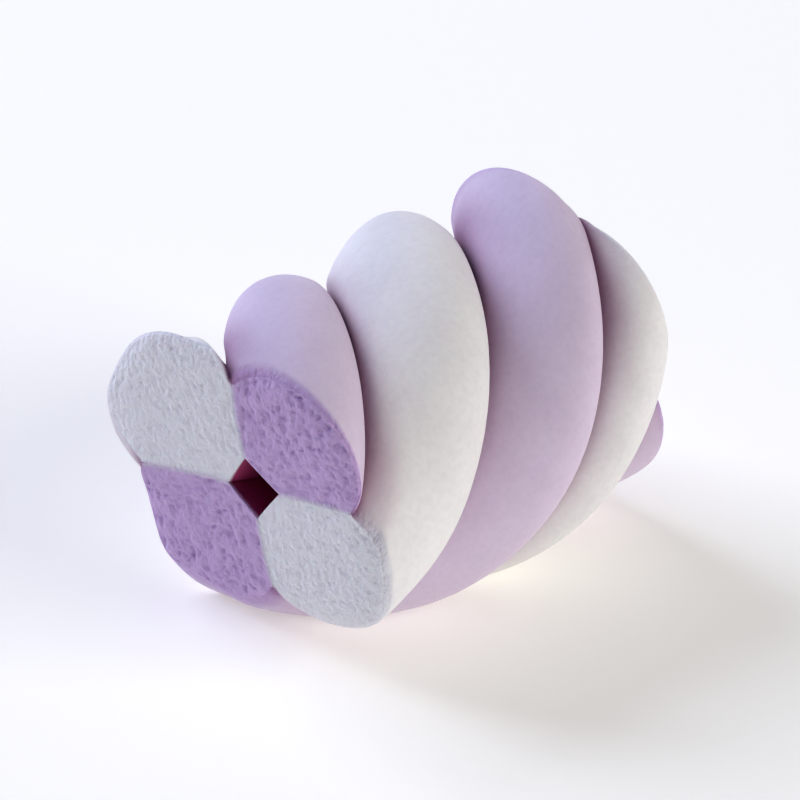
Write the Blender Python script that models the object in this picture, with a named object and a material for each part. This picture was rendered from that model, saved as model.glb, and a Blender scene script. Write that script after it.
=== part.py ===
"""A rope-twist marshmallow that lies on its side.

Four soft strands, white and lilac by turns, are wound left-handed round a narrow hollow core and cut
across at both ends. Each strand is one solid that runs the whole length of the twist. The units are
metres. +X runs along the twist, away from the near cut, and +Z is up. The origin is on the surface that
the sweet lies on, under its middle.

The cross-section is worked out in polar form. A groove parts each strand from the next, and between its
two grooves a strand swells outwards in one smooth bulge. The section turns as it runs along the axis, and
at the near cut the soft strands are a little uneven.
"""

import math
from collections import namedtuple

import bmesh
import bpy
from mathutils import Matrix, Vector

# The twist as a whole.
LENGTH = 0.0371  # between the cuts, along the axis
PITCH = 0.0593  # length of one full turn, at the near cut
TIGHTENING = 0.09  # further turns gained by the far cut
NEAR_CUT_X = -0.0186  # where the near cut crosses the axis
AXIS_Y = -0.0004
AXIS_HEIGHT = 0.0150  # above the surface that the sweet lies on

# The two cuts are flat and parallel, and lean a little. Each lean is a slope along X.
CUT_LEAN_Y = 0.02
CUT_LEAN_Z = -0.14
CUT_EDGE_RADIUS = 0.0006

# The cross-section at the near cut.
CORE_RADIUS = 0.0029  # from the middle of the section to each corner of the hollow core
BULGE_SQUARENESS = 2.0
BULGE_FULLNESS = 1.1
STRAND_GAP = 0.0004  # between the flat sides of two strands
SECTION_Y = 0.0  # from the axis to the middle of the section
SECTION_Z = 0.0004

# How finely the strands are cut into facets.
BODY_STEPS = 38
WALL_STEPS = 3
BULGE_STEPS = 16
EDGE_STEPS = 2
SETTLING_ROUNDS = 8

WHITE = (0.87, 0.86, 0.86, 1.0)
LILAC = (0.70, 0.56, 0.74, 1.0)
POWDERY_ROUGHNESS = 0.85
SHARPEST_SMOOTH_EDGE = math.radians(35.0)

# A strand starts at its own groove and ends at the next strand's, counted round the near cut from +Y
# towards +Z. The bulge is how far it swells beyond its grooves. A lean above zero shifts the top of the
# swelling towards the strand's start.
Strand = namedtuple("Strand", "name colour groove_angle groove_radius bulge lean")
STRANDS = (
    Strand("lilac_strand_upper", LILAC, 75.0, 0.0109, 0.0034, 0.0),
    Strand("white_strand_lower", WHITE, 164.0, 0.0119, 0.0043, -0.2),
    Strand("lilac_strand_lower", LILAC, 273.0, 0.0103, 0.0034, -0.1),
    Strand("white_strand_upper", WHITE, 351.0, 0.0141, 0.0037, 0.05),
)

# Where the soft strands spread or shrank at the near cut: the strand, the place across it from -1 at its
# start to 1 at its end, how wide, and how far outwards. The change dies away along the strand.
Swelling = namedtuple("Swelling", "strand across width height")
SWELLINGS = (
    Swelling("white_strand_lower", -0.75, 0.25, 0.0006),
    Swelling("white_strand_lower", 0.50, 0.35, -0.0008),
    Swelling("lilac_strand_lower", 0.36, 0.22, 0.0016),
    Swelling("white_strand_upper", -0.70, 0.28, 0.0016),
    Swelling("white_strand_upper", 0.85, 0.16, 0.0012),
)
SWELLING_REACH = 0.005  # from the near cut


def clear_scene():
    for obj in list(bpy.data.objects):
        bpy.data.objects.remove(obj, do_unlink=True)


def blend(start, end, share):
    return start + (end - start) * share


def polar(radius, angle):
    return Vector((radius * math.cos(angle), radius * math.sin(angle)))


def strand_after(index):
    """The next strand round the section, with its groove counted on past a full circle."""
    after = STRANDS[(index + 1) % len(STRANDS)]
    if index + 1 < len(STRANDS):
        return after
    return after._replace(groove_angle=after.groove_angle + 360.0)


def swelling_at(name, across, distance):
    """How far a strand is swollen at a place across it and at a distance from the near cut."""
    fading = math.exp(-((distance / SWELLING_REACH) ** 2)) * (1.0 - across**8)
    return sum(
        one.height * fading * math.exp(-(((across - one.across) / one.width) ** 2))
        for one in SWELLINGS
        if one.strand == name
    )


def bulge_outline(index, depth, distance):
    """The outer side of a strand, from its own groove to the next one, drawn in by a small depth."""
    strand = STRANDS[index]
    after = strand_after(index)
    angles = []
    grooves = []
    radii = []
    for step in range(BULGE_STEPS + 1):
        across = -math.cos(math.pi * step / BULGE_STEPS)
        share = (across + 1.0) / 2.0
        leaning = abs(across + strand.lean * (1.0 - across * across))
        swell = max(0.0, 1.0 - leaning**BULGE_SQUARENESS) ** (1.0 / BULGE_FULLNESS)
        angles.append(math.radians(blend(strand.groove_angle, after.groove_angle, share)))
        grooves.append(blend(strand.groove_radius, after.groove_radius, share))
        radii.append(grooves[-1] + strand.bulge * swell + swelling_at(strand.name, across, distance))
    points = []
    for step in range(BULGE_STEPS + 1):
        before = max(step - 1, 0)
        beyond = min(step + 1, BULGE_STEPS)
        rise = (radii[beyond] - radii[before]) / (angles[beyond] - angles[before]) / radii[step]
        radius = max(radii[step] - depth * math.hypot(1.0, rise), grooves[step] - depth)
        points.append(polar(radius, angles[step]))
    return points


def beside(point, angle, distance):
    """A point moved square to the ray at this angle, anticlockwise for a distance above zero."""
    return point + distance * Vector((-math.sin(angle), math.cos(angle)))


def strand_section(index, depth, distance):
    """A strand's outline: up one flat side, over the bulge and down the other side to the core. Its outer
    side and its side at the core are drawn in by the depth, and its flat sides stay where they are."""
    first = math.radians(STRANDS[index].groove_angle)
    last = math.radians(strand_after(index).groove_angle)
    bulge = bulge_outline(index, depth, distance)
    bulge[0] = beside(bulge[0], first, STRAND_GAP / 2.0)
    bulge[-1] = beside(bulge[-1], last, -STRAND_GAP / 2.0)
    first_corner = beside(polar(CORE_RADIUS + depth, first), first, STRAND_GAP / 2.0)
    last_corner = beside(polar(CORE_RADIUS + depth, last), last, -STRAND_GAP / 2.0)
    up = [first_corner.lerp(bulge[0], step / WALL_STEPS) for step in range(WALL_STEPS)]
    down = [bulge[-1].lerp(last_corner, (step + 1) / WALL_STEPS) for step in range(WALL_STEPS)]
    middle = Vector((SECTION_Y, SECTION_Z))
    return [point + middle for point in up + bulge + down]


def ring_places():
    """(distance from the near cut, depth drawn in) of each ring. The rings next to a cut round its edge."""
    edge = []
    for step in range(EDGE_STEPS):
        angle = math.pi / 2.0 * step / EDGE_STEPS
        distance = CUT_EDGE_RADIUS * (1.0 - math.cos(angle))
        edge.append((distance, CUT_EDGE_RADIUS * (1.0 - math.sin(angle))))
    places = list(edge)
    for step in range(BODY_STEPS + 1):
        share = step / BODY_STEPS
        places.append((blend(CUT_EDGE_RADIUS, LENGTH - CUT_EDGE_RADIUS, share), 0.0))
    places += [(LENGTH - distance, depth) for distance, depth in reversed(edge)]
    return places


def turned(point, x):
    """A point of the section turned left-handed for its place x along the twist, and flattened where it
    would go below the surface that the sweet rests on."""
    share = x / LENGTH
    turns = x / PITCH + TIGHTENING * share * share
    y, z = Matrix.Rotation(-2.0 * math.pi * turns, 2) @ point
    return y, max(z, -AXIS_HEIGHT)


def ring_at(section, distance):
    """The section on a plane that meets the axis at this distance and leans as the cuts do. A point's
    place along the twist and its turn depend on each other, so they are settled in a few rounds."""
    ring = []
    for point in section:
        x = distance
        for _ in range(SETTLING_ROUNDS):
            y, z = turned(point, x)
            x = distance + CUT_LEAN_Y * y + CUT_LEAN_Z * z
        ring.append(Vector((x + NEAR_CUT_X, y + AXIS_Y, z + AXIS_HEIGHT)))
    return ring


def strand_mesh(index):
    """A closed mesh. The far flat side is split along the other diagonal, so that two flat sides that
    face each other have the same facets and keep their gap."""
    count = 2 * WALL_STEPS + BULGE_STEPS + 1
    far_side = WALL_STEPS + BULGE_STEPS
    mesh = bmesh.new()
    rings = [
        [mesh.verts.new(point) for point in ring_at(strand_section(index, depth, distance), distance)]
        for distance, depth in ring_places()
    ]
    for near, far in zip(rings, rings[1:]):
        for i in range(count):
            j = (i + 1) % count
            if i < far_side:
                mesh.faces.new((near[i], far[j], far[i]))
                mesh.faces.new((near[i], near[j], far[j]))
            else:
                mesh.faces.new((near[i], near[j], far[i]))
                mesh.faces.new((near[j], far[j], far[i]))
    mesh.faces.new(rings[0][::-1])
    mesh.faces.new(rings[-1])
    bmesh.ops.recalc_face_normals(mesh, faces=mesh.faces)
    data = bpy.data.meshes.new(STRANDS[index].name)
    mesh.to_mesh(data)
    mesh.free()
    return data


def mallow_material(name, colour):
    material = bpy.data.materials.new(name)
    material.use_nodes = True
    shader = material.node_tree.nodes["Principled BSDF"]
    shader.inputs["Base Color"].default_value = colour
    shader.inputs["Roughness"].default_value = POWDERY_ROUGHNESS
    shader.inputs["Metallic"].default_value = 0.0
    return material


def add_strand(index, material):
    data = strand_mesh(index)
    data.materials.append(material)
    data.shade_smooth()
    data.set_sharp_from_angle(angle=SHARPEST_SMOOTH_EDGE)
    bpy.context.collection.objects.link(bpy.data.objects.new(STRANDS[index].name, data))


def main():
    clear_scene()
    materials = {
        WHITE: mallow_material("white_mallow", WHITE),
        LILAC: mallow_material("lilac_mallow", LILAC),
    }
    for index, strand in enumerate(STRANDS):
        add_strand(index, materials[strand.colour])


main()
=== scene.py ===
"""The looks of the rope-twist marshmallow: soft, powdery strands with spongy cut ends.

Each strand is modelled again at a fine pitch, over the same section and the same twist as its solid, and
takes the solid's place. The units are metres, in the frame of the solids.
"""

import math
from collections import namedtuple

import bpy
import numpy as np
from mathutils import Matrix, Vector, noise


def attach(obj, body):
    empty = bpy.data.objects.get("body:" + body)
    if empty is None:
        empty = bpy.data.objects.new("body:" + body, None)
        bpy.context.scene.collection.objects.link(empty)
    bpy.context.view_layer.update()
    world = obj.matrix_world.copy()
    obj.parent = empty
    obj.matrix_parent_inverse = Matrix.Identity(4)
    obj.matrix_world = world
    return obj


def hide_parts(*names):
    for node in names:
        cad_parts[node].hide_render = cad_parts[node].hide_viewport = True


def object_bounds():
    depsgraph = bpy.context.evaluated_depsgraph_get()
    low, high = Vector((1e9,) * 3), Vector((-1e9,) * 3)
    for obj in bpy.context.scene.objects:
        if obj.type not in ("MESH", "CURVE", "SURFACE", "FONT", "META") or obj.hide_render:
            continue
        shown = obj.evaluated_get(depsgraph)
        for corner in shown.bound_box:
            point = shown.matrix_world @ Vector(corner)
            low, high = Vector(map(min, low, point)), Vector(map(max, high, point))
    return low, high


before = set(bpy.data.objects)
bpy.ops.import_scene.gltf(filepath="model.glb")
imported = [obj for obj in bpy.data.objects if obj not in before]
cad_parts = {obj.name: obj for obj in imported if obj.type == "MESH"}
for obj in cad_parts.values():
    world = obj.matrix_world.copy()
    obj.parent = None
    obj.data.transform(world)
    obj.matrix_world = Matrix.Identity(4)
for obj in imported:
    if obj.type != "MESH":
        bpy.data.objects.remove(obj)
cad_low, cad_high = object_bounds()

# The twist, as the solids have it. Its near cut is at the low end of X.
LENGTH = 0.0371
PITCH = 0.0593
TIGHTENING = 0.09
NEAR_CUT_X = -0.0186
AXIS_Y = -0.0004
AXIS_HEIGHT = 0.0150
CUT_LEAN = (0.02, -0.14)
CORE_RADIUS = 0.0029
BULGE_SQUARENESS = 2.0
BULGE_FULLNESS = 1.1
SECTION_MIDDLE = (0.0, 0.0004)

Strand = namedtuple("Strand", "node lilac groove_angle groove_radius bulge lean")
STRANDS = (
    Strand("lilac_strand_upper", True, 75.0, 0.0109, 0.0034, 0.0),
    Strand("white_strand_lower", False, 164.0, 0.0119, 0.0043, -0.2),
    Strand("lilac_strand_lower", True, 273.0, 0.0103, 0.0034, -0.1),
    Strand("white_strand_upper", False, 351.0, 0.0141, 0.0037, 0.05),
)
Swelling = namedtuple("Swelling", "node across width height")
SWELLINGS = (
    Swelling("white_strand_lower", -0.75, 0.25, 0.0006),
    Swelling("white_strand_lower", 0.50, 0.35, -0.0008),
    Swelling("lilac_strand_lower", 0.36, 0.22, 0.0016),
    Swelling("white_strand_upper", -0.70, 0.28, 0.0016),
    Swelling("white_strand_upper", 0.85, 0.16, 0.0012),
)
SWELLING_REACH = 0.005  # from the near cut

# The soft detail that the solids leave out.
EDGE_LENGTH = 0.0013  # how far from a cut its rounded edge starts
EDGE_DEPTH = 0.00055  # how far the rounding draws in the cut face's outline
CORE_ROUNDING = 0.3  # the share of it at the hollow core, whose rim is crisper
CREASE_DEPTH = 0.0016  # how much deeper a crease goes than the solids' groove
CREASE_WIDTH = 0.0006
CREASE_START = 0.0005  # from a cut, where the strands are still pressed together
CREASE_FULL = 0.0060
SKIN_INSET = 0.00005  # keeps the fine surface inside the solids' facets
UNEVEN_DEPTH = 0.00022
UNEVEN_SIZE = 0.009
DIMPLE_DEPTH = 0.00003
DIMPLE_SIZE = 0.0012

# The cut faces: short pits, drawn out along the way that the knife went.
PITS_PER_AREA = 1.5e6  # for each square metre
PIT_LENGTH = (0.00025, 0.0006)
PIT_WIDTH = (0.00016, 0.0003)
FURROW_SIZE = 0.0008
FURROW_STRETCH = 1.8
LILAC_PIT_DEPTH = 0.00020
WHITE_PIT_DEPTH = 0.00011
KNIFE_DIRECTION = math.radians(108.0)  # from +Y towards +Z
KNIFE_SPREAD = math.radians(35.0)
FACE_CROWN = 0.0005  # how far a cut face falls away at its outer edge
SEAM_CROWN = 0.00008  # and where it meets the next strand or the hollow core
CREASE_SHADE_WIDTH = 0.0042  # of the painted shade beside a strand's creases, pinkish as with light bounced off the lilac
PALE_HIGHLIGHT_WIDTH = 0.0060  # of the paler skin with a painted warm highlight along the crease at a strand's end, close to a cut
PALE_HIGHLIGHT_LENGTH = 0.0070
BLEED_WIDTH = 0.00022  # how far a strand's colour runs into the next one

# How fine the mesh is.
WALL_POINTS = 14
BULGE_POINTS = 170
CORE_POINTS = 16
CAP_RINGS = 60
EDGE_RINGS = 8
BODY_RINGS = 150
SETTLING_ROUNDS = 8


# ---------------------------------------------------------------------------------------------------
# The strands


def blend(start, end, share):
    return start + (end - start) * share


def smooth(low, high, value):
    share = np.clip((value - low) / (high - low), 0.0, 1.0)
    return share * share * (3.0 - 2.0 * share)


def strand_after(index):
    after = STRANDS[(index + 1) % len(STRANDS)]
    if index + 1 < len(STRANDS):
        return after
    return after._replace(groove_angle=after.groove_angle + 360.0)


def swelling_at(node, across, distance):
    """How far a strand is swollen at places across it and at a distance from the near cut."""
    fading = math.exp(-((distance / SWELLING_REACH) ** 2)) * (1.0 - across**8)
    swollen = np.zeros(len(across))
    for one in SWELLINGS:
        if one.node == node:
            swollen += one.height * fading * np.exp(-(((across - one.across) / one.width) ** 2))
    return swollen


def bulge_outline(index, depth, distance):
    """Angles and radii along the outer side of a strand, and how far each point is from the crease at the
    strand's start and from the one at its end."""
    strand = STRANDS[index]
    after = strand_after(index)
    across = -np.cos(np.pi * np.arange(BULGE_POINTS + 1) / BULGE_POINTS)
    share = (across + 1.0) / 2.0
    leaning = np.abs(across + strand.lean * (1.0 - across * across))
    swell = np.clip(1.0 - leaning**BULGE_SQUARENESS, 0.0, None) ** (1.0 / BULGE_FULLNESS)
    angles = np.radians(blend(strand.groove_angle, after.groove_angle, share))
    grooves = blend(strand.groove_radius, after.groove_radius, share)
    radii = grooves + strand.bulge * swell + swelling_at(strand.node, across, distance) - SKIN_INSET
    from_start = radii * (angles - angles[0])
    from_end = radii * (angles[-1] - angles)
    rise = np.gradient(radii, angles) / radii
    pulled = np.maximum(radii - depth * np.hypot(1.0, rise), grooves - depth)
    opened = smooth(CREASE_START, CREASE_FULL, min(distance, LENGTH - distance))
    pulled -= opened * CREASE_DEPTH * np.exp(-np.minimum(from_start, from_end) / CREASE_WIDTH)
    return angles, pulled, np.stack([from_start, from_end], axis=1)


def strand_section(index, depth, distance):
    """A strand's outline as points about the axis, with each point's distances from the two creases."""
    angles, radii, from_creases = bulge_outline(index, depth, distance)
    bulge = np.stack([radii * np.cos(angles), radii * np.sin(angles)], axis=1)
    core = CORE_RADIUS + CORE_ROUNDING * depth
    first = core * np.array([math.cos(angles[0]), math.sin(angles[0])])
    last = core * np.array([math.cos(angles[-1]), math.sin(angles[-1])])
    share = np.arange(WALL_POINTS)[:, None] / WALL_POINTS
    up = blend(first, bulge[0], share)
    down = blend(bulge[-1], last, share[1:])
    share = np.arange(CORE_POINTS)[:, None] / CORE_POINTS
    inner = blend(last, first, share)
    points = np.concatenate([up, bulge, down, inner]) + np.array(SECTION_MIDDLE)
    creases = np.concatenate(
        [np.zeros((len(up), 2)), from_creases, np.zeros((len(down) + len(inner), 2))]
    )
    return points, creases


def place(section, distance):
    """The section's points in space, on a plane that meets the axis at this distance and leans as the
    cuts do. A point's turn depends on its own place along the twist, so the two are settled together."""
    x = np.full(len(section), distance)
    for _ in range(SETTLING_ROUNDS):
        turn = -2.0 * math.pi * (x / PITCH + TIGHTENING * (x / LENGTH) ** 2)
        y = section[:, 0] * np.cos(turn) - section[:, 1] * np.sin(turn)
        z = section[:, 0] * np.sin(turn) + section[:, 1] * np.cos(turn)
        z = np.maximum(z, -AXIS_HEIGHT)
        x = distance + CUT_LEAN[0] * y + CUT_LEAN[1] * z
    return np.stack([x + NEAR_CUT_X, y + AXIS_Y, z + AXIS_HEIGHT], axis=1)


def edge_profile():
    """(distance from the cut, depth drawn in) of the rings that round a cut's edge, from the cut on."""
    angles = np.pi / 2.0 * np.arange(EDGE_RINGS) / EDGE_RINGS
    return list(zip(EDGE_LENGTH * (1.0 - np.cos(angles)), EDGE_DEPTH * (1.0 - np.sin(angles))))


def from_walls(section, index):
    """How far each point of a section is from the nearer of the strand's two flat sides."""
    offset = section - np.array(SECTION_MIDDLE)
    angles = np.radians([STRANDS[index].groove_angle, strand_after(index).groove_angle])
    return np.min([np.abs(offset[:, 1] * np.cos(a) - offset[:, 0] * np.sin(a)) for a in angles], axis=0)


def strand_grid(index):
    """Rings of points from the middle of the near cut, over its edge, along the body and back in."""
    rings = []
    rows = []  # (distance from the nearer cut, share of the way out on a cut face)
    walls = []
    edge = edge_profile()
    body = np.linspace(EDGE_LENGTH, LENGTH - EDGE_LENGTH, BODY_RINGS)
    near = [(distance, depth) for distance, depth in edge]
    far = [(LENGTH - distance, depth) for distance, depth in reversed(edge)]
    outline, creases = strand_section(index, EDGE_DEPTH, 0.0)
    middle = outline.mean(axis=0)
    far_outline = strand_section(index, EDGE_DEPTH, LENGTH)[0]
    far_middle = far_outline.mean(axis=0)
    out = np.arange(1, CAP_RINGS) / CAP_RINGS
    for share in out:
        section = blend(middle, outline, share)
        rings.append(place(section, 0.0))
        rows.append((0.0, share))
        walls.append(from_walls(section, index))
    for distance, depth in near + [(d, 0.0) for d in body] + far:
        section = strand_section(index, depth, distance)[0]
        rings.append(place(section, distance))
        rows.append((min(distance, LENGTH - distance), 1.0))
        walls.append(from_walls(section, index))
    for share in out[::-1]:
        section = blend(far_middle, far_outline, share)
        rings.append(place(section, LENGTH))
        rows.append((0.0, share))
        walls.append(from_walls(section, index))
    return np.array(rings), np.array(rows), creases, np.array(walls)


def grid_faces(ring_count, point_count):
    """Quads between the rings, and a fan to a middle point at each end. The middles come last."""
    ring = np.arange(ring_count - 1)[:, None] * point_count
    here = np.arange(point_count)[None, :]
    beyond = (here + 1) % point_count
    quads = np.stack(
        [ring + here, ring + beyond, ring + point_count + beyond, ring + point_count + here], axis=-1
    )
    faces = [tuple(face) for face in quads.reshape(-1, 4).tolist()]
    near_middle = ring_count * point_count
    last = (ring_count - 1) * point_count
    for i in range(point_count):
        j = (i + 1) % point_count
        faces.append((near_middle, j, i))
        faces.append((near_middle + 1, last + i, last + j))
    return faces


def pits_on(points, depth, seed):
    """How deep the pits go at each of these points (y, z) of a cut face."""
    random = np.random.default_rng(seed)
    low = points.min(axis=0)
    high = points.max(axis=0)
    count = int(PITS_PER_AREA * np.prod(high - low))
    deepest = np.zeros(len(points))
    for _ in range(count):
        middle = random.uniform(low, high)
        length = random.uniform(*PIT_LENGTH)
        width = random.uniform(*PIT_WIDTH)
        angle = KNIFE_DIRECTION + random.normal(0.0, KNIFE_SPREAD)
        deep = depth * random.uniform(0.25, 1.0)
        near = np.abs(points - middle).max(axis=1) < 2.0 * length
        offset = points[near] - middle
        along = offset @ np.array([math.cos(angle), math.sin(angle)])
        aside = offset @ np.array([-math.sin(angle), math.cos(angle)])
        pit = deep * np.exp(-((along / length) ** 2) - (aside / width) ** 2)
        deepest[near] = np.maximum(deepest[near], pit)
    return deepest


def noise_at(points, size, seed):
    """Smooth noise between about -1 and 1, with features of this size."""
    shift = Vector((seed * 13.7, seed * 7.1, seed * 3.3))
    return np.array([noise.noise(Vector(point) / size + shift) for point in points])


def furrows_on(points, seed):
    """How deep the soft furrows go at each of these points (y, z) of a cut face, from 0 to 1."""
    along = np.array([math.cos(KNIFE_DIRECTION), math.sin(KNIFE_DIRECTION)])
    aside = np.array([-along[1], along[0]])
    drawn_out = np.stack(
        [points @ along / FURROW_STRETCH, points @ aside, np.zeros(len(points))], axis=1
    )
    coarse = noise_at(drawn_out, FURROW_SIZE, seed)
    fine = noise_at(drawn_out, FURROW_SIZE / 2.3, seed + 5)
    return smooth(-0.1, 0.7, 0.65 * coarse + 0.35 * fine)


def vertex_normals(points, faces):
    data = bpy.data.meshes.new("scratch")
    data.from_pydata(points.tolist(), [], faces)
    normals = np.empty(len(points) * 3, np.float32)
    data.vertices.foreach_get("normal", normals)
    bpy.data.meshes.remove(data)
    return normals.reshape(-1, 3).astype(float)


def add_attribute(data, name, values):
    layer = data.attributes.new(name, "FLOAT", "POINT")
    layer.data.foreach_set("value", np.asarray(values, np.float32))


def strand_piece(index, material):
    strand = STRANDS[index]
    grid, rows, creases, walls = strand_grid(index)
    ring_count, point_count = grid.shape[:2]
    faces = grid_faces(ring_count, point_count)
    middles = np.array([grid[0].mean(axis=0), grid[-1].mean(axis=0)])
    points = np.concatenate([grid.reshape(-1, 3), middles])

    # What each point is part of.
    from_cut = np.append(np.repeat(rows[:, 0], point_count), [0.0, 0.0])
    out = np.append(np.repeat(rows[:, 1], point_count), [0.0, 0.0])
    crease = np.append(np.tile(creases.min(axis=1), ring_count), [1.0, 1.0])
    start, end = (np.append(np.tile(side, ring_count), [1.0, 1.0]) for side in creases.T)
    number = np.append(np.tile(np.arange(point_count), ring_count), [-1, -1])
    on_bulge = (number >= WALL_POINTS) & (number <= WALL_POINTS + BULGE_POINTS)
    in_core = (number == 0) | (number > 2 * WALL_POINTS + BULGE_POINTS - 1)
    on_face = out < 1.0
    far_half = points[:, 0] > (points[:, 0].min() + points[:, 0].max()) / 2.0

    normals = vertex_normals(points, faces)
    on_skin = on_bulge & ~on_face

    # The skin is gently uneven, and dies down towards the creases and the cuts.
    depth = np.zeros(len(points))
    where = np.flatnonzero(on_skin)
    fade = smooth(0.0, 0.003, crease[where])
    uneven = 0.5 + 0.5 * noise_at(points[where], UNEVEN_SIZE, index + 1)
    dimples = 0.5 + 0.5 * noise_at(points[where], DIMPLE_SIZE, index + 11)
    depth[where] = fade * (UNEVEN_DEPTH * uneven + DIMPLE_DEPTH * dimples)

    # The cut faces are crowned, with pits and a shallow valley where two strands meet.
    pit_depth = LILAC_PIT_DEPTH if strand.lilac else WHITE_PIT_DEPTH
    pits = np.zeros(len(points))
    for end, chosen in enumerate((on_face & ~far_half, on_face & far_half)):
        where = np.flatnonzero(chosen)
        pits[where] = pits_on(points[where, 1:], pit_depth, 10 * index + end)
        pits[where] += pit_depth * furrows_on(points[where, 1:], 10 * index + end)
    calm = smooth(1.0, 0.93, out)
    fall = np.where(on_bulge, blend(SEAM_CROWN, FACE_CROWN, smooth(0.0, 0.003, crease)), SEAM_CROWN)
    depth += on_face * (pits * calm + fall * out**5)
    edge_drop = np.where(~on_face, fall * smooth(EDGE_LENGTH, 0.0, from_cut), 0.0)
    into_body = np.where(far_half, -1.0, 1.0)
    points[:, 0] += into_body * (on_face * depth + edge_drop)
    points -= normals * (on_skin * depth)[:, None]

    # Nothing stands out of the solids' box.
    points = np.clip(points, np.array(cad_low), np.array(cad_high))

    data = bpy.data.meshes.new(strand.node)
    data.from_pydata(points.tolist(), [], faces)
    data.shade_smooth()
    data.set_sharp_from_angle(angle=math.radians(60.0))
    from_wall = np.append(walls.ravel(), [1.0, 1.0])
    add_attribute(data, "cut", np.where(on_face, 1.0, smooth(0.9, 0.0, from_cut / EDGE_LENGTH)))
    # Painted shade in the pits of a cut face.
    add_attribute(data, "pit", np.where(on_face, 0.6 * pits / pit_depth, 0.0))
    add_attribute(data, "bleed", 0.5 * np.exp(-((from_wall / BLEED_WIDTH) ** 2)) * (from_cut < EDGE_LENGTH))
    # Painted shade: the skin turns dark maroon in the creases between strands.
    add_attribute(data, "crease", np.where(on_skin, np.exp(-crease / 0.0008), 0.0))
    # Painted shade beside the creases: on a strand's start side strongest a few millimetres from a cut, on
    # its end side away from the cuts.
    shade_strength = 0.3 + 0.7 * np.exp(-(((from_cut - 0.004) / 0.003) ** 2))
    start_shade = shade_strength * np.exp(-((start / CREASE_SHADE_WIDTH) ** 2))
    end_shade = 0.6 * smooth(0.004, 0.009, from_cut) * np.exp(-((end / CREASE_SHADE_WIDTH) ** 2))
    crease_shade = np.maximum(start_shade, end_shade)
    add_attribute(data, "crease_shade", np.where(on_skin, crease_shade, 0.0))
    # Paler skin with a painted warm highlight, along the crease at a strand's end near a cut.
    pale_highlight = 0.7 * np.exp(-((end / PALE_HIGHLIGHT_WIDTH) ** 2) - (from_cut / PALE_HIGHLIGHT_LENGTH) ** 2)
    add_attribute(data, "pale_highlight", np.where(on_skin, pale_highlight, 0.0))
    # Painted shade in the hollow core, darker as it goes in from the cut.
    add_attribute(data, "hollow_shade", np.where(in_core, smooth(0.0, 0.0004, from_cut), 0.0))
    data.materials.append(material)
    piece = bpy.data.objects.new(strand.node + "_soft", data)
    bpy.context.collection.objects.link(piece)
    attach(piece, "root")
    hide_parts(strand.node)
    return piece


# ---------------------------------------------------------------------------------------------------
# The materials


def add_node(tree, kind, **inputs):
    node = tree.nodes.new(kind)
    for name, value in inputs.items():
        node.inputs[name.replace("_", " ")].default_value = value
    return node


def attribute(tree, name):
    node = tree.nodes.new("ShaderNodeAttribute")
    node.attribute_name = name
    return node.outputs["Fac"]


def noise_texture(tree, coordinates, scale, detail=3.0, roughness=0.5):
    node = add_node(tree, "ShaderNodeTexNoise", Scale=scale, Detail=detail, Roughness=roughness)
    tree.links.new(coordinates, node.inputs["Vector"])
    return node.outputs["Fac"]


def remap(tree, value, low, high, to_low, to_high):
    node = tree.nodes.new("ShaderNodeMapRange")
    for place_in, number in enumerate((low, high, to_low, to_high), start=1):
        node.inputs[place_in].default_value = number
    tree.links.new(value, node.inputs[0])
    return node.outputs[0]


def mix(tree, kind, share, first, second):
    """A colour mix. The share and the colours are sockets or plain values."""
    node = tree.nodes.new("ShaderNodeMix")
    node.data_type = "RGBA"
    node.blend_type = kind
    for socket, value in ((node.inputs[0], share), (node.inputs[6], first), (node.inputs[7], second)):
        if isinstance(value, bpy.types.NodeSocket):
            tree.links.new(value, socket)
        else:
            socket.default_value = value
    return node.outputs[2]


def stretched(tree, coordinates):
    """The coordinates turned and squeezed so that a noise is drawn out along the way the knife went."""
    turn = tree.nodes.new("ShaderNodeMapping")
    turn.inputs["Rotation"].default_value = (-KNIFE_DIRECTION, 0.0, 0.0)
    squeeze = tree.nodes.new("ShaderNodeMapping")
    squeeze.inputs["Scale"].default_value = (1.0, 0.65, 1.0)
    tree.links.new(coordinates, turn.inputs["Vector"])
    tree.links.new(turn.outputs["Vector"], squeeze.inputs["Vector"])
    return squeeze.outputs["Vector"]


# Tints of painted light: shade beside the creases, shade deep in the hollow core, and a pale warm
# highlight.
CREASE_SHADE_TINT = (0.68, 0.54, 0.62, 1.0)
HOLLOW_SHADE = (0.45, 0.02, 0.14, 1.0)
PALE_HIGHLIGHT = (0.90, 0.80, 0.87, 1.0)


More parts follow.
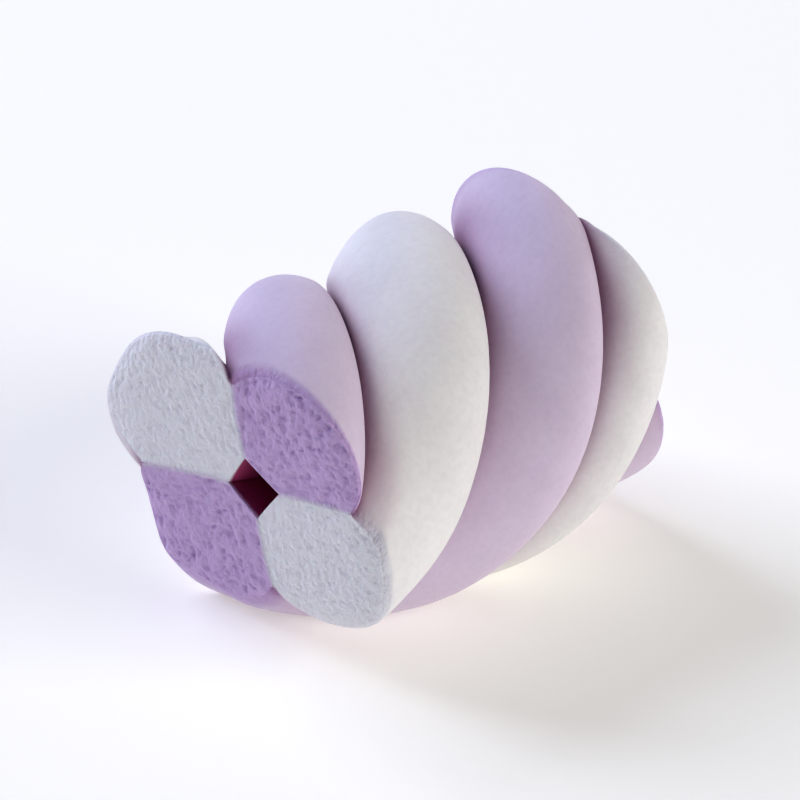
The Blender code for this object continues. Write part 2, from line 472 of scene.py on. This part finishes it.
def mallow_material(name, skin, cut, pit, crease, neighbour):
    """Matt, powdery mallow. The cut attribute turns its skin to the spongy inside. The pit and crease
    colours are painted shade.
    """
    material = bpy.data.materials.new(name)
    material.use_nodes = True
    tree = material.node_tree
    shader = tree.nodes["Principled BSDF"]
    coordinates = tree.nodes.new("ShaderNodeTexCoord").outputs["Object"]

    blotches = noise_texture(tree, coordinates, 260.0)
    powder = noise_texture(tree, coordinates, 1600.0, detail=4.0, roughness=0.6)
    crumb = noise_texture(tree, stretched(tree, coordinates), 2300.0, detail=2.5, roughness=0.55)

    blotched = remap(tree, blotches, 0.35, 0.65, 0.0, 1.0)
    skin_colour = mix(tree, "MULTIPLY", blotched, skin, (0.965, 0.955, 0.965, 1.0))
    powdered = remap(tree, powder, 0.4, 0.65, 0.0, 0.8)
    skin_colour = mix(tree, "MULTIPLY", powdered, skin_colour, (0.95, 0.94, 0.95, 1.0))
    # paler skin with a painted highlight
    skin_colour = mix(tree, "MIX", attribute(tree, "pale_highlight"), skin_colour, PALE_HIGHLIGHT)
    crumbled = remap(tree, crumb, 0.4, 0.65, 0.0, 0.6)
    cut_colour = mix(tree, "MULTIPLY", crumbled, cut, (0.95, 0.94, 0.955, 1.0))
    # painted shade in the pits
    cut_colour = mix(tree, "MULTIPLY", attribute(tree, "pit"), cut_colour, pit)
    colour = mix(tree, "MIX", attribute(tree, "cut"), skin_colour, cut_colour)
    colour = mix(tree, "MIX", attribute(tree, "bleed"), colour, neighbour)
    # painted shade beside the creases
    colour = mix(tree, "MULTIPLY", attribute(tree, "crease_shade"), colour, CREASE_SHADE_TINT)
    # painted shade in the creases
    colour = mix(tree, "MULTIPLY", attribute(tree, "crease"), colour, crease)
    # painted shade in the hollow core
    colour = mix(tree, "MULTIPLY", attribute(tree, "hollow_shade"), colour, HOLLOW_SHADE)
    tree.links.new(colour, shader.inputs["Base Color"])
    tree.links.new(remap(tree, powder, 0.3, 0.7, 0.80, 0.95), shader.inputs["Roughness"])

    fine = add_node(tree, "ShaderNodeBump", Strength=0.4, Distance=0.0001)
    tree.links.new(powder, fine.inputs["Height"])
    sponge = add_node(tree, "ShaderNodeBump", Distance=0.0004)
    tree.links.new(crumb, sponge.inputs["Height"])
    tree.links.new(remap(tree, attribute(tree, "cut"), 0.0, 1.0, 0.0, 0.8), sponge.inputs["Strength"])
    tree.links.new(fine.outputs["Normal"], sponge.inputs["Normal"])
    tree.links.new(sponge.outputs["Normal"], shader.inputs["Normal"])

    shader.inputs["Specular IOR Level"].default_value = 0.2
    shader.inputs["Subsurface Weight"].default_value = 0.3
    shader.inputs["Subsurface Radius"].default_value = (1.0, 0.7, 0.85)
    shader.inputs["Subsurface Scale"].default_value = 0.0009
    shader.inputs["Sheen Weight"].default_value = 0.08
    shader.inputs["Sheen Roughness"].default_value = 0.6
    return material


# ---------------------------------------------------------------------------------------------------
# The stage, the light and the camera


FLOOR_GLOW = 0.28  # a lit table, as for a product picture


def add_floor():
    bpy.ops.mesh.primitive_circle_add(vertices=96, radius=1.5, fill_type="NGON")
    floor = bpy.context.object
    floor.name = "floor"
    material = bpy.data.materials.new("floor_paper")
    material.use_nodes = True
    tree = material.node_tree
    shader = tree.nodes["Principled BSDF"]
    coordinates = tree.nodes.new("ShaderNodeTexCoord").outputs["Object"]
    grain = noise_texture(tree, coordinates, 900.0)
    tone = mix(tree, "MIX", grain, (0.90, 0.895, 0.85, 1.0), (0.93, 0.925, 0.88, 1.0))
    tree.links.new(tone, shader.inputs["Base Color"])
    shader.inputs["Roughness"].default_value = 0.9
    shader.inputs["Emission Color"].default_value = (1.0, 0.98, 0.92, 1.0)
    shader.inputs["Emission Strength"].default_value = FLOOR_GLOW
    floor.data.materials.append(material)


def add_area_light(name, azimuth, elevation, distance, size, power, colour):
    """A soft square light that looks at the sweet. Azimuth 0 is at -Y, and 90 is at +X."""
    around = math.radians(azimuth)
    above = math.radians(elevation)
    direction = Vector(
        (math.sin(around) * math.cos(above), -math.cos(around) * math.cos(above), math.sin(above))
    )
    data = bpy.data.lights.new(name, "AREA")
    data.size = size
    data.energy = power
    data.color = colour
    light = bpy.data.objects.new(name, data)
    light.location = direction * distance
    light.rotation_euler = direction.to_track_quat("Z", "Y").to_euler()
    bpy.context.collection.objects.link(light)


def add_world(colour, strength):
    world = bpy.data.worlds.new("studio")
    world.use_nodes = True
    background = world.node_tree.nodes["Background"]
    background.inputs["Color"].default_value = colour
    background.inputs["Strength"].default_value = strength
    bpy.context.scene.world = world


CAMERA_AZIMUTH = math.radians(-50.5)
CAMERA_ELEVATION = math.radians(29.6)
CAMERA_DISTANCE = 0.609
CAMERA_RIGHT = 0.0138
CAMERA_UP = 0.0140
LENS = 330.0


def add_camera():
    """The camera stands where the view of the sweet is right in perspective, and looks at its middle."""
    back = Vector(
        (
            math.sin(CAMERA_AZIMUTH) * math.cos(CAMERA_ELEVATION),
            -math.cos(CAMERA_AZIMUTH) * math.cos(CAMERA_ELEVATION),
            math.sin(CAMERA_ELEVATION),
        )
    )
    right = Vector((math.cos(CAMERA_AZIMUTH), math.sin(CAMERA_AZIMUTH), 0.0))
    up = back.cross(right)
    centre = (cad_low + cad_high) / 2.0
    data = bpy.data.cameras.new("camera")
    data.sensor_width = 36.0
    data.lens = LENS
    data.clip_start = 0.01
    data.clip_end = 10.0
    camera = bpy.data.objects.new("camera", data)
    camera.location = centre + back * CAMERA_DISTANCE + right * CAMERA_RIGHT + up * CAMERA_UP
    camera.rotation_euler = (camera.location - centre).to_track_quat("Z", "Y").to_euler()
    bpy.context.collection.objects.link(camera)
    bpy.context.scene.camera = camera


# ---------------------------------------------------------------------------------------------------

add_camera()
# The cut colours: the inside's own colour, deeper than the powdered skin, and also set darker as painted
# shade, since the cut faces get little light.
WHITE_CUT = (0.84, 0.84, 0.88, 1.0)
LILAC_CUT = (0.61, 0.43, 0.725, 1.0)

# The pit and crease colours are painted shade, in the pits of the cut faces and in the creases between
# strands.
white = mallow_material(
    "white_mallow_soft",
    skin=(0.90, 0.89, 0.88, 1.0),
    cut=WHITE_CUT,
    pit=(0.93, 0.92, 0.94, 1.0),
    crease=(0.42, 0.19, 0.31, 1.0),
    neighbour=LILAC_CUT,
)
lilac = mallow_material(
    "lilac_mallow_soft",
    skin=(0.74, 0.625, 0.785, 1.0),
    cut=LILAC_CUT,
    pit=(0.80, 0.73, 0.84, 1.0),
    crease=(0.44, 0.20, 0.32, 1.0),
    neighbour=WHITE_CUT,
)
for strand_index, one in enumerate(STRANDS):
    strand_piece(strand_index, lilac if one.lilac else white)
add_floor()
add_world((0.60, 0.66, 1.0, 1.0), 0.13)
add_area_light("key", 16.0, 28.0, 1.6, 0.9, 14.5, (1.0, 0.955, 0.86))
add_area_light("sky", -172.0, 36.0, 1.6, 1.1, 25.0, (0.77, 0.81, 1.0))
bpy.context.scene.view_settings.view_transform = "Standard"
